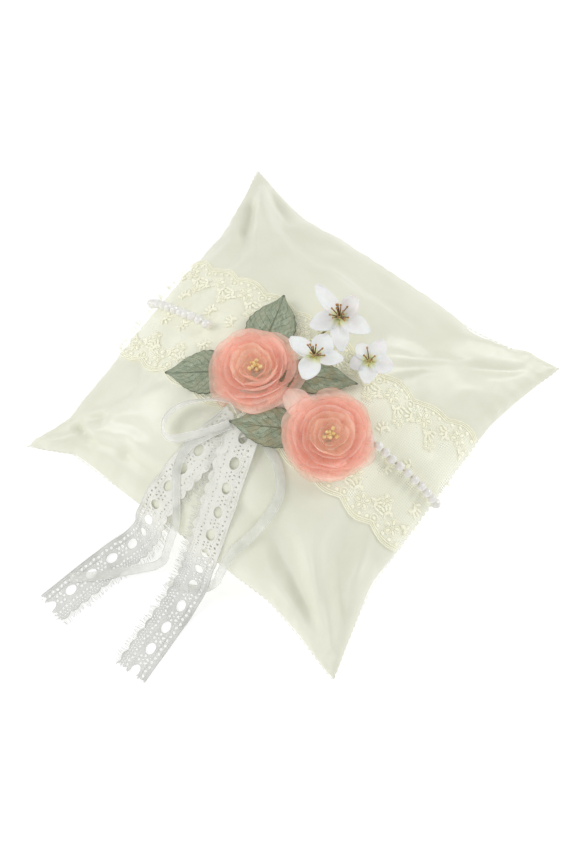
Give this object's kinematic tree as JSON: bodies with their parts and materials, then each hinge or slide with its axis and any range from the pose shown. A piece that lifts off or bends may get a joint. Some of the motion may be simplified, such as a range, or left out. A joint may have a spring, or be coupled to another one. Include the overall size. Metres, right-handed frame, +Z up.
{
  "type": "ring bearer pillow",
  "caption": "Square satin cushion with a lace sash, pearl garlands, organza roses with leaves and blossoms, and lace and ribbon tails.",
  "frame": {"origin": "middle of the cushion's flat underside, on the surface that it lies on", "axes": "+Z up out of the front of the cushion, +X along the lace sash, and the lace tails hang over the -Y side"},
  "size_m": [0.2, 0.2596, 0.0812],
  "materials": {
    "satin": "ivory duchess satin with a soft sheen",
    "wadding": "loose white polyester fibre",
    "sash_lace": "sheer net embroidered in cream cord",
    "pearl": "pearlescent coat on moulded beads",
    "felt": "matt wool felt",
    "buckram": "stiffened cloth",
    "organza": "sheer coral organza",
    "stamen_gold": "pearly gold heads on thread",
    "leaf_cloth": "printed silk leaf, grey green with fine veins",
    "blossom_silk": "matt white silk",
    "stamen_brown": "brown thread with gold tips",
    "stem_tape": "waxed floral tape on wire",
    "cotton_lace": "white cotton lace with eyelets",
    "satin_ribbon": "narrow double-faced satin ribbon"
  },
  "bodies": {
    "pillow": {"cover_front_panel": "satin", "cover_back_panel": "satin", "fibre_filling": "wadding", "lace_sash": "sash_lace", "bead_garland_left": "pearl", "bead_garland_right": "pearl", "flower_backing_felt": "felt", "leaf_left": "leaf_cloth", "leaf_top": "leaf_cloth", "leaf_front": "leaf_cloth", "leaf_right": "leaf_cloth", "lace_tail_left": "cotton_lace", "lace_tail_right": "cotton_lace", "ribbon_tail_left": "satin_ribbon", "ribbon_tail_right": "satin_ribbon", "ribbon_loop": "satin_ribbon", "ribbon_knot": "satin_ribbon", "rose_left_buckram_disc": "buckram", "rose_left_stamens": "stamen_gold", "rose_right_buckram_disc": "buckram", "rose_right_stamens": "stamen_gold", "rose_left_whorl_1_petal_1": "organza", "rose_left_whorl_1_petal_2": "organza", "rose_left_whorl_1_petal_3": "organza", "rose_left_whorl_2_petal_1": "organza", "rose_left_whorl_2_petal_2": "organza", "rose_left_whorl_2_petal_3": "organza", "rose_left_whorl_3_petal_1": "organza", "rose_left_whorl_3_petal_2": "organza", "rose_left_whorl_3_petal_3": "organza", "rose_left_whorl_4_petal_1": "organza", "rose_left_whorl_4_petal_2": "organza", "rose_left_whorl_4_petal_3": "organza", "rose_right_whorl_1_petal_1": "organza", "rose_right_whorl_1_petal_2": "organza", "rose_right_whorl_1_petal_3": "organza", "rose_right_whorl_2_petal_1": "organza", "rose_right_whorl_2_petal_2": "organza", "rose_right_whorl_2_petal_3": "organza", "rose_right_whorl_3_petal_1": "organza", "rose_right_whorl_3_petal_2": "organza", "rose_right_whorl_3_petal_3": "organza", "rose_right_whorl_4_petal_1": "organza", "rose_right_whorl_4_petal_2": "organza", "rose_right_whorl_4_petal_3": "organza", "blossom_upper_corolla": "blossom_silk", "blossom_upper_stamens": "stamen_brown", "blossom_upper_stem": "stem_tape", "blossom_lower_corolla": "blossom_silk", "blossom_lower_stamens": "stamen_brown", "blossom_lower_stem": "stem_tape", "blossom_outer_corolla": "blossom_silk", "blossom_outer_stamens": "stamen_brown", "blossom_outer_stem": "stem_tape"},
    "left_tail": {"lace_tail_left_end": "cotton_lace", "ribbon_tail_left_end": "satin_ribbon"},
    "right_tail": {"lace_tail_right_end": "cotton_lace", "ribbon_tail_right_end": "satin_ribbon"}
  },
  "joints": [
    {"name": "left_tail_lift", "type": "hinge", "parent": "pillow", "child": "left_tail", "pos_m": [-0.019, -0.0915, 0.024], "axis": [-1, 0, 0], "range_deg": [0, 75]},
    {"name": "right_tail_lift", "type": "hinge", "parent": "pillow", "child": "right_tail", "pos_m": [0.012, -0.0915, 0.024], "axis": [-1, 0, 0], "range_deg": [0, 75]}
  ]
}
